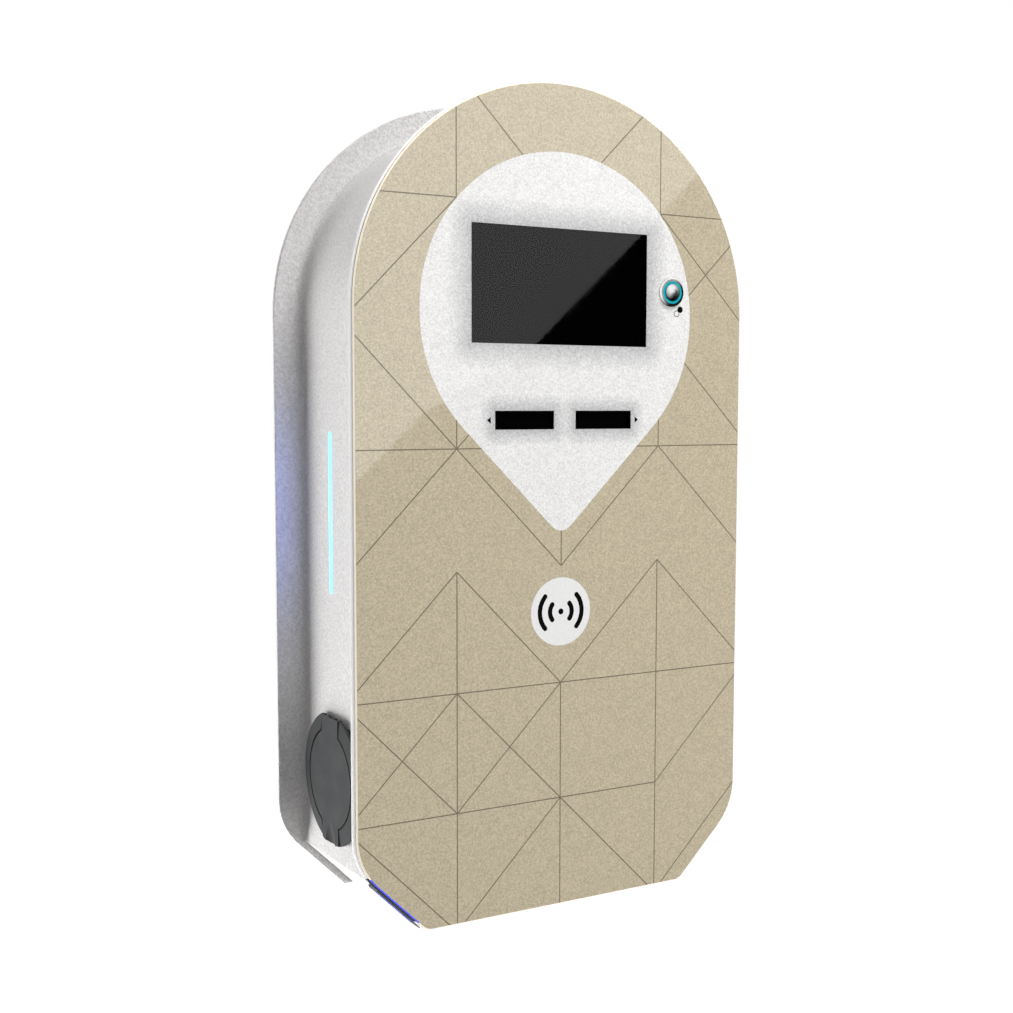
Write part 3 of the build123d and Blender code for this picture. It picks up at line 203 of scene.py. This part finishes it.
class Finish:
    """A material with a Principled shader and short ways to add nodes to it."""

    def __init__(self, name, colour, roughness, metallic=0.0):
        self.material = bpy.data.materials.new(name)
        self.material.use_nodes = True
        self.tree = self.material.node_tree
        self.shader = self.tree.nodes["Principled BSDF"]
        self.colour = colour
        self.roughness = roughness
        self.set("Base Color", opaque(colour))
        self.set("Roughness", roughness)
        self.set("Metallic", metallic)
        self.place = self.node("ShaderNodeTexCoord").outputs["Object"]

    def set(self, socket, value):
        """Sets a plain value on the shader."""
        self.shader.inputs[socket].default_value = value

    def feed(self, socket, source):
        """Links a node's output to the shader."""
        self.join(source, self.shader.inputs[socket])

    def base(self):
        """What colours the surface so far."""
        return self.shader.inputs["Base Color"].links[0].from_socket

    def node(self, kind, **settings):
        made = self.tree.nodes.new(kind)
        for name, value in settings.items():
            setattr(made, name, value)
        return made

    def join(self, source, target):
        self.tree.links.new(source, target)

    def value(self, source, target):
        """Links a socket, or sets a plain number or colour."""
        if isinstance(source, bpy.types.NodeSocket):
            self.join(source, target)
        else:
            target.default_value = source

    def maths(self, operation, first, second=0.0, clamp=False):
        made = self.node("ShaderNodeMath", operation=operation, use_clamp=clamp)
        self.value(first, made.inputs[0])
        self.value(second, made.inputs[1])
        return made.outputs[0]

    def length(self, first, second):
        """Length of a flat vector."""
        squares = [self.maths("MULTIPLY", part, part) for part in (first, second)]
        return self.maths("SQRT", self.maths("ADD", *squares))

    def spread(self, source, low, high, to_low, to_high):
        """Maps a number from one range to another, clamped."""
        made = self.node("ShaderNodeMapRange")
        self.join(source, made.inputs["Value"])
        made.inputs["From Min"].default_value = low
        made.inputs["From Max"].default_value = high
        made.inputs["To Min"].default_value = to_low
        made.inputs["To Max"].default_value = to_high
        return made.outputs["Result"]

    def swing(self, noise, low, high):
        """Number that swings between two values with a noise."""
        return self.spread(noise, noise_low, noise_high, low, high)

    def axes(self, vector=None):
        """X, Y and Z of a vector, or of the place on the part."""
        made = self.node("ShaderNodeSeparateXYZ")
        self.join(vector or self.place, made.inputs[0])
        return made.outputs

    def facing(self):
        """Minus one on a face that looks to the front, and one on a face that looks to the wall."""
        return self.axes(self.node("ShaderNodeNewGeometry").outputs["True Normal"])["Y"]

    def noise(self, size, detail=2.0, stretch=(1.0, 1.0, 1.0)):
        """Noise with features of about the given size."""
        scaled = self.node("ShaderNodeMapping")
        self.join(self.place, scaled.inputs["Vector"])
        scaled.inputs["Scale"].default_value = [1.0 / (size * share) for share in stretch]
        made = self.node("ShaderNodeTexNoise")
        self.join(scaled.outputs["Vector"], made.inputs["Vector"])
        made.inputs["Scale"].default_value = 1.0
        made.inputs["Detail"].default_value = detail
        return made.outputs["Fac"]

    def mix(self, factor, first, second, blend="MIX"):
        """Mixes two colours."""
        made = self.node("ShaderNodeMix", data_type="RGBA", blend_type=blend)
        self.value(factor, made.inputs[0])
        self.value(opaque(first), made.inputs[6])
        self.value(opaque(second), made.inputs[7])
        return made.outputs[2]

    def layer(self, factor, first, second):
        """Mixes two shaders."""
        made = self.node("ShaderNodeMixShader")
        for source, target in zip((factor, first, second), made.inputs):
            self.join(source, target)
        return made.outputs[0]

    def shaded(self, share):
        """The finish's own colour, made darker or lighter by a share."""
        return tuple(min(1.0, channel * share) for channel in self.colour)

    def mottle(self, noise, contrast):
        """Base colour that swings around its mean with a noise."""
        light = self.swing(noise, 0.0, 1.0)
        self.feed("Base Color", self.mix(light, self.shaded(1.0 - contrast), self.shaded(1.0 + contrast)))

    def sheen_change(self, noise, reach):
        """Roughness that swings around its mean with a noise."""
        self.feed("Roughness", self.swing(noise, self.roughness - reach, self.roughness + reach))

    def bump(self, noise, height, strength):
        """Relief of the given height."""
        made = self.node("ShaderNodeBump")
        made.inputs["Distance"].default_value = height
        made.inputs["Strength"].default_value = strength
        self.join(noise, made.inputs["Height"])
        self.feed("Normal", made.outputs["Normal"])


# Places on the part


def front_box(node):
    """Middle and half size of a node in the front view."""
    low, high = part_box(node)
    return ((low.x + high.x) / 2, (low.z + high.z) / 2), ((high.x - low.x) / 2, (high.z - low.z) / 2)


def box_distance(finish, node, inset=0.0):
    """Distance in the front view from a node's rectangle, drawn in by the inset."""
    parts = finish.axes()
    outside = []
    for axis, middle, half in zip("XZ", *front_box(node)):
        offset = finish.maths("ABSOLUTE", finish.maths("SUBTRACT", parts[axis], middle))
        outside.append(finish.maths("MAXIMUM", finish.maths("SUBTRACT", offset, half - inset), 0.0))
    return finish.length(*outside)


def nearness(finish, nodes, reach):
    """One over the given nodes in the front view, and zero beyond their reach."""
    near = 0.0
    for node in nodes:
        share = finish.spread(box_distance(finish, node), 0.0, reach, 1.0, 0.0)
        near = finish.maths("MAXIMUM", share, near)
    return near


def corner_band(finish):
    """One along the lower corners, where the lights sit, and zero elsewhere."""
    height = finish.axes()["Z"]
    above = finish.spread(height, corner_low - corner_soft, corner_low, 0.0, 1.0)
    below = finish.spread(height, corner_high, corner_high + corner_soft, 1.0, 0.0)
    return finish.maths("MULTIPLY", above, below)


# Finishes


def powder_coat(name, colour, contrast):
    """Fine textured powder coat with a light orange peel."""
    finish = Finish(name, colour, roughness=0.42)
    grain = finish.noise(powder_grain, detail=3.0)
    finish.mottle(grain, contrast)
    finish.sheen_change(finish.noise(powder_swell), reach=0.08)
    finish.bump(grain, powder_relief, strength=0.9)
    return finish


def cover_coat(name, colour, contrast):
    """Powder coat of the cover, with painted light on the step beside the glass and painted shade at the
    corner lights.
    """
    finish = powder_coat(name, colour, contrast)
    near = corner_band(finish)
    # Painted shade: the cover darkens at the corner lights
    finish.feed("Base Color", finish.mix(near, finish.base(), painted_corner_shade))
    # Painted light: the step that faces the front glows, except at the corner lights
    step = finish.spread(finish.facing(), *painted_step_facing, painted_step_light, 0.0)
    lit = finish.maths("MULTIPLY", step, finish.maths("SUBTRACT", 1.0, near))
    finish.set("Emission Color", opaque(painted_step_colour))
    finish.feed("Emission Strength", lit)
    return finish


def screen_print(name, colour, contrast, gloss_index=1.5):
    """Fired print with a fine grain under a clear gloss."""
    finish = Finish(name, colour, roughness=0.7)
    finish.set("Specular IOR Level", 0.0)
    finish.set("Coat Weight", 1.0)
    finish.set("Coat Roughness", 0.03)
    finish.set("Coat IOR", gloss_index)
    grain = finish.noise(print_grain)
    swell = finish.maths("MULTIPLY", finish.noise(print_swell), print_swell_share)
    speckle = finish.maths("MULTIPLY", grain, 1.0 - print_swell_share)
    finish.mottle(finish.maths("ADD", swell, speckle), contrast)
    finish.bump(grain, print_relief, strength=0.4)
    return finish


def pin_field_with_painted_shade(name, colour, contrast):
    """White pin field with painted shade, a soft grey around the display and the windows."""
    finish = screen_print(name, colour, contrast)
    # Painted shade: the base colour darkens towards the display and the windows
    clear = 1.0
    for node, inset, reach in painted_shade_halos:
        share = finish.spread(box_distance(finish, node, inset), 0.0, reach, 0.0, 1.0)
        clear = finish.maths("MULTIPLY", share, clear)
    grain = finish.swing(finish.noise(print_grain), -painted_halo_grain, painted_halo_grain)
    shade = finish.mix(finish.maths("ADD", clear, grain, clamp=True), painted_halo_shade, white)
    finish.feed("Base Color", finish.mix(1.0, finish.base(), shade, "MULTIPLY"))
    return finish


def moulded(name, colour, roughness=0.5):
    """Moulded plastic with a fine spark-eroded texture."""
    finish = Finish(name, colour, roughness)
    grain = finish.noise(plastic_grain)
    finish.mottle(grain, contrast=0.06)
    finish.sheen_change(finish.noise(plastic_swell), reach=0.06)
    finish.bump(grain, plastic_relief, strength=0.4)
    finish.set("Specular IOR Level", 0.25)
    return finish


def lid_plastic(name, colour, roughness):
    """Moulded lid with painted shade along its dividing lines."""
    finish = moulded(name, colour, roughness)
    parts = finish.axes()
    across = finish.maths("ABSOLUTE", finish.maths("ADD", parts["Y"], lid_middle_setback))
    upward = finish.maths("ADD", parts["Z"], lid_middle_drop)
    radius = finish.length(across, upward)
    past_disc = finish.maths("GREATER_THAN", radius, lid_disc_radius)
    past_tongue = finish.maths("GREATER_THAN", across, lid_tongue_half)
    line = 0.0
    for value, where, there in ((across, lid_tongue_half, past_disc), (radius, lid_disc_radius, past_tongue)):
        off = finish.maths("ABSOLUTE", finish.maths("SUBTRACT", value, where))
        near = finish.spread(off, lid_line_half, lid_line_half + lid_line_soft, 1.0, 0.0)
        line = finish.maths("MAXIMUM", finish.maths("MULTIPLY", near, there), line)
    # Painted shade along the dividing lines
    finish.feed("Base Color", finish.mix(line, finish.base(), lid_line_painted_shade))
    return finish


def unlit(name, colour, roughness, grain):
    """Dark pane under the glass, with nothing lit behind it and no shine of its own."""
    finish = Finish(name, colour, roughness)
    finish.set("Specular IOR Level", 0.0)
    finish.mottle(finish.noise(grain, detail=1.0), contrast=0.2)
    return finish


def turned(name, colour):
    """Turned and polished steel with faint tool marks."""
    finish = Finish(name, colour, roughness=0.14, metallic=1.0)
    marks = finish.noise(brush_width, detail=1.0, stretch=(turned_stretch, 1.0, turned_stretch))
    finish.mottle(marks, contrast=0.03)
    finish.sheen_change(marks, reach=0.04)
    return finish


def painted_reflection_steel(name, node, bright_shares, fade_shares):
    """Polished steel with a painted highlight at its upper left and a painted dark reflection away from
    there, as on a dome.
    """
    finish = Finish(name, painted_highlight_colour, roughness=0.32, metallic=1.0)
    finish.sheen_change(finish.noise(brush_width, detail=1.0), reach=0.04)
    middles, (radius, _) = front_box(node)
    parts = finish.axes()
    offsets = [
        finish.maths("SUBTRACT", parts[axis], middle + share * radius)
        for axis, middle, share in zip("XZ", middles, bright_shares)
    ]
    # Painted highlight fading into painted dark reflection in the base colour
    fade = finish.spread(finish.length(*offsets), *(share * radius for share in fade_shares), 0.0, 1.0)
    finish.feed("Base Color", finish.mix(fade, painted_highlight_colour, painted_reflection_dark))
    return finish


def brushed(name, colour, roughness=0.35):
    """Rolled or plated sheet with streaks along X."""
    finish = Finish(name, colour, roughness, metallic=1.0)
    streaks = finish.noise(brush_width, stretch=(brush_length / brush_width, 1.0, 1.0))
    finish.mottle(streaks, contrast=0.08)
    finish.sheen_change(streaks, reach=0.08)
    return finish


def lit_lens(name, colour, glow, strength):
    """Diffusing lens over a row of lamps."""
    finish = Finish(name, colour, roughness=0.3)
    cells = finish.noise(lens_cell, detail=1.0)
    finish.mottle(cells, contrast=0.08)
    finish.set("Emission Color", opaque(glow))
    lit = finish.swing(cells, (1.0 - lens_swing) * strength, (1.0 + lens_swing) * strength)
    finish.feed("Emission Strength", lit)
    return finish


def ground_edge(name):
    """Cream ground edge of the glass with a painted cream glow on its bevel, a painted blue glow along its
    front at the corner lights, and painted shade beside them.
    """
    finish = Finish(name, edge_cream, roughness=0.45)
    finish.mottle(finish.noise(print_grain), contrast=0.06)
    depth = finish.maths("SUBTRACT", finish.axes()["Y"], cad_front)
    seam = finish.spread(depth, seam_depth, seam_depth + seam_soft, 0.0, 1.0)
    near = corner_band(finish)
    # Painted shade at the corner lights, and a greyer seam behind the bevel
    finish.feed("Base Color", finish.mix(near, finish.mix(seam, finish.base(), edge_grey), painted_corner_shade))
    # Painted glow: blue in the front of the glass at the corner lights, cream on the bevel
    front = finish.spread(depth, painted_glow_depth, painted_glow_depth + seam_soft, 1.0, 0.0)
    bevel = finish.spread(depth, seam_depth, seam_depth + seam_soft, 1.0, 0.0)
    light = finish.mix(near, finish.mix(bevel, black, painted_bevel_glow), finish.mix(front, black, painted_glow_colour))
    finish.feed("Emission Color", light)
    finish.set("Emission Strength", 1.0)
    return finish


def clear_glass(name):
    """Toughened clear glass with mirror reflections that grow at a slant, and a ground edge."""
    finish = ground_edge(name)
    slanted = finish.spread(finish.maths("ABSOLUTE", finish.facing()), *ground_facing, 1.0, 0.0)
    windows = nearness(finish, [node for node, _, _ in painted_shade_halos], clear_reach)
    ground = finish.maths("MAXIMUM", slanted, finish.maths("LESS_THAN", windows, clear_least))
    see = finish.node("ShaderNodeBsdfTransparent")
    see.inputs["Color"].default_value = opaque(glass_tint)
    shine = finish.node("ShaderNodeBsdfGlossy")
    finish.join(finish.swing(finish.noise(wipe_size, detail=3.0), *wipe_roughness), shine.inputs["Roughness"])
    fresnel = finish.node("ShaderNodeFresnel")
    fresnel.inputs["IOR"].default_value = glass_index
    inside = finish.node("ShaderNodeNewGeometry").outputs["Backfacing"]
    share = finish.maths("MULTIPLY", fresnel.outputs[0], finish.maths("SUBTRACT", 1.0, inside))
    pane = finish.layer(share, see.outputs[0], shine.outputs[0])
    edged = finish.layer(ground, pane, finish.shader.outputs[0])
    finish.join(edged, finish.tree.nodes["Material Output"].inputs["Surface"])
    return finish


def dress(finishes):
    """Puts one finish on each CAD node, by the node's own name or else by its material slot."""
    slots = {part["node"]: part["material_slot"] for part in frame["record"]["subparts"]}
    for name, node in frame["nodes"].items():
        finish = finishes.get(name) or finishes[slots[name]]
        node.data.materials.clear()
        node.data.materials.append(finish.material)
        node.data.shade_smooth()
        node.data.set_sharp_from_angle(angle=radians(smooth_angle))


dress({
    "housing_white": powder_coat("housing_powder_coat", linear(240, 238, 237), 0.14),
    "cover_white": cover_coat("cover_powder_coat", linear(248, 247, 246), 0.02),
    "zinc": brushed("zinc_plate", (0.62, 0.63, 0.65)),
    "polished_steel": turned("polished_steel", (0.8, 0.8, 0.81)),
    "gasket_black": moulded("gasket_rubber", linear(110, 110, 112), 0.7),
    "clear_glass": clear_glass("clear_glass"),
    "print_beige": screen_print("beige_print", linear(203, 191, 165), 0.2, 1.9),
    "print_grey": screen_print("line_print", linear(128, 120, 103), 0.08),
    "print_white": screen_print("disc_print", linear(240, 240, 239), 0.045),
    "pin_print": pin_field_with_painted_shade("white_print", linear(241, 240, 239), 0.14),
    "print_black": screen_print("black_print", linear(16, 16, 17), 0.1),
    "button_bezel": painted_reflection_steel("bezel_steel_painted_reflection", "button_bezel", bezel_painted_highlight_shares, bezel_painted_fade_shares),
    "button_cap": painted_reflection_steel("cap_steel_painted_reflection", "button_cap", cap_painted_highlight_shares, cap_painted_fade_shares),
    "display_black": unlit("display_black", linear(2, 2, 3), 0.35, display_grain),
    "window_smoked": unlit("smoked_window", linear(5, 5, 6), 0.4, plastic_grain),
    "device_grey": moulded("device_plastic", linear(205, 208, 210)),
    "device_dark": moulded("dark_device_plastic", linear(60, 61, 64)),
    "lever_blue": moulded("lever_plastic", linear(60, 90, 150), 0.4),
    "board_green": moulded("solder_mask", linear(38, 92, 62), 0.35),
    "brass": brushed("brass", (0.8, 0.62, 0.3), 0.25),
    "gland_grey": moulded("gland_plastic", linear(150, 152, 154)),
    "light_cyan": lit_lens("bar_lens", linear(150, 215, 235), (0.14, 0.6, 1.0), 1.6),
    "button_ring": lit_lens("ring_lens", linear(0, 120, 130), (0.0, 0.3, 0.36), 0.7),
    "light_blue": lit_lens("corner_lens", linear(40, 50, 130), (0.03, 0.07, 0.8), 1.0),
    "trim_dark": moulded("corner_bezel", linear(92, 92, 97)),
    "socket_black": moulded("socket_plastic", linear(40, 41, 42), 0.45),
    "lid_grey": lid_plastic("lid_plastic", linear(66, 67, 68), 0.62),
})


# Studio


def add_object(name, data):
    made = bpy.data.objects.new(name, data)
    bpy.context.scene.collection.objects.link(made)
    return made


def stage_piece(name, corners, colour):
    """Flat stage piece through its corners, and the shader of its material."""
    mesh = bpy.data.meshes.new(name)
    mesh.from_pydata(corners, [], [list(range(len(corners)))])
    made = add_object(name, mesh)
    material = bpy.data.materials.new(name)
    material.use_nodes = True
    mesh.materials.append(material)
    shader = material.node_tree.nodes["Principled BSDF"]
    shader.inputs["Base Color"].default_value = opaque(colour)
    return made, shader


def seen_by_camera(tree):
    """One for camera, glossy and transmission rays, so that pale surroundings show and light nothing."""
    path = tree.nodes.new("ShaderNodeLightPath")
    total = path.outputs["Is Camera Ray"]
    for ray in ("Is Glossy Ray", "Is Transmission Ray"):
        most = tree.nodes.new("ShaderNodeMath")
        most.operation = "MAXIMUM"
        tree.links.new(total, most.inputs[0])
        tree.links.new(path.outputs[ray], most.inputs[1])
        total = most.outputs[0]
    return total


def floor():
    """Pale floor well below the wall unit. It keeps the shadow and fades into the background."""
    low = cad_box[0][2] - floor_drop
    half = floor_side / 2
    corners = [(-half, -half, low), (half, -half, low), (half, half, low), (-half, half, low)]
    made, shader = stage_piece("floor", corners, floor_colour)
    made.visible_glossy = False
    shader.inputs["Roughness"].default_value = floor_roughness
    shader.inputs["Emission Color"].default_value = opaque(white)
    tree = shader.id_data
    lift = tree.nodes.new("ShaderNodeMath")
    lift.operation = "MULTIPLY"
    tree.links.new(seen_by_camera(tree), lift.inputs[0])
    lift.inputs[1].default_value = floor_lift
    tree.links.new(lift.outputs[0], shader.inputs["Emission Strength"])


def world():
    """Soft light from all around, white where the camera looks."""
    made = bpy.data.worlds.new("studio")
    bpy.context.scene.world = made
    made.use_nodes = True
    tree = made.node_tree
    both = tree.nodes.new("ShaderNodeMixShader")
    tree.links.new(seen_by_camera(tree), both.inputs[0])
    backgrounds = (tree.nodes["Background"], tree.nodes.new("ShaderNodeBackground"))
    for background, strength, target in zip(backgrounds, (world_light, 1.0), both.inputs[1:]):
        background.inputs["Color"].default_value = opaque(white)
        background.inputs["Strength"].default_value = strength
        tree.links.new(background.outputs[0], target)
    tree.links.new(both.outputs[0], tree.nodes["World Output"].inputs["Surface"])


def area_lamp(name, power):
    """Area lamp that isn't seen in reflections."""
    lamp = bpy.data.lights.new(name, "AREA")
    lamp.energy = power
    made = add_object(name, lamp)
    made.visible_glossy = False
    return made


def softbox(name, place, target, side, power):
    """Square lamp aimed at a point."""
    made = area_lamp(name, power)
    made.data.size = side
    made.location = place
    made.rotation_euler = (Vector(target) - Vector(place)).to_track_quat("-Z", "Y").to_euler()


def light_strip(name, node, side):
    """Light that a light bar sheds sideways, along its whole length."""
    low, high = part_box(node)
    made = area_lamp(name, strip_power)
    made.data.shape = "RECTANGLE"
    made.data.size = high.z - low.z
    made.data.size_y = strip_width
    made.data.color = strip_colour
    outer = low.x if side < 0 else high.x
    made.location = (outer + side * strip_gap, (low.y + high.y) / 2, (low.z + high.z) / 2)
    made.rotation_euler = (0.0, side * radians(-90), 0.0)
    made.visible_camera = False


def camera_turn():
    """Rotation of the camera."""
    turn = Matrix.Rotation(radians(camera_heading), 3, "Z")
    tilt = Matrix.Rotation(radians(camera_tilt), 3, "X")
    return turn @ tilt @ Matrix.Rotation(radians(camera_roll), 3, "Z")


def camera():
    """Camera at the photograph's viewpoint."""
    data = bpy.data.cameras.new("camera")
    data.sensor_width = sensor_width
    data.lens = focal_pixels / image_side * sensor_width
    made = add_object("camera", data)
    made.matrix_world = Matrix.Translation(camera_place) @ camera_turn().to_4x4()
    bpy.context.scene.camera = made


def on_front(pixel):
    """Point of the front plane that the camera sees at a pixel of the photograph."""
    ray = Vector((pixel[0] - image_side / 2, image_side / 2 - pixel[1], -focal_pixels))
    ray = camera_turn() @ ray
    place = Vector(camera_place)
    return place + ray * ((cad_front - place.y) / ray.y)


def mirror_card():
    """Dark card in front of the part that only mirror reflections see."""
    mirrored = Vector((camera_place[0], 2 * cad_front - camera_place[1], camera_place[2]))
    line = []
    for pixel in card_line:
        ray = on_front(pixel) - mirrored
        line.append(mirrored + ray * ((card_place - mirrored.y) / ray.y))
    line += [Vector((card_reach, card_place, line[-1].z)), Vector((card_reach, card_place, -card_reach))]
    line += [Vector((line[0].x, card_place, -card_reach))]
    made, shader = stage_piece("mirror_card", line, black)
    shader.inputs["Specular IOR Level"].default_value = 0.0
    for ray in ("camera", "diffuse", "transmission", "volume_scatter", "shadow"):
        setattr(made, "visible_" + ray, False)


floor()
world()
for settings in softboxes:
    softbox(*settings)
light_strip("bar_glow_left", "side_light_left", -1)
light_strip("bar_glow_right", "side_light_right", 1)
mirror_card()
camera()
bpy.context.scene.view_settings.view_transform = "Standard"
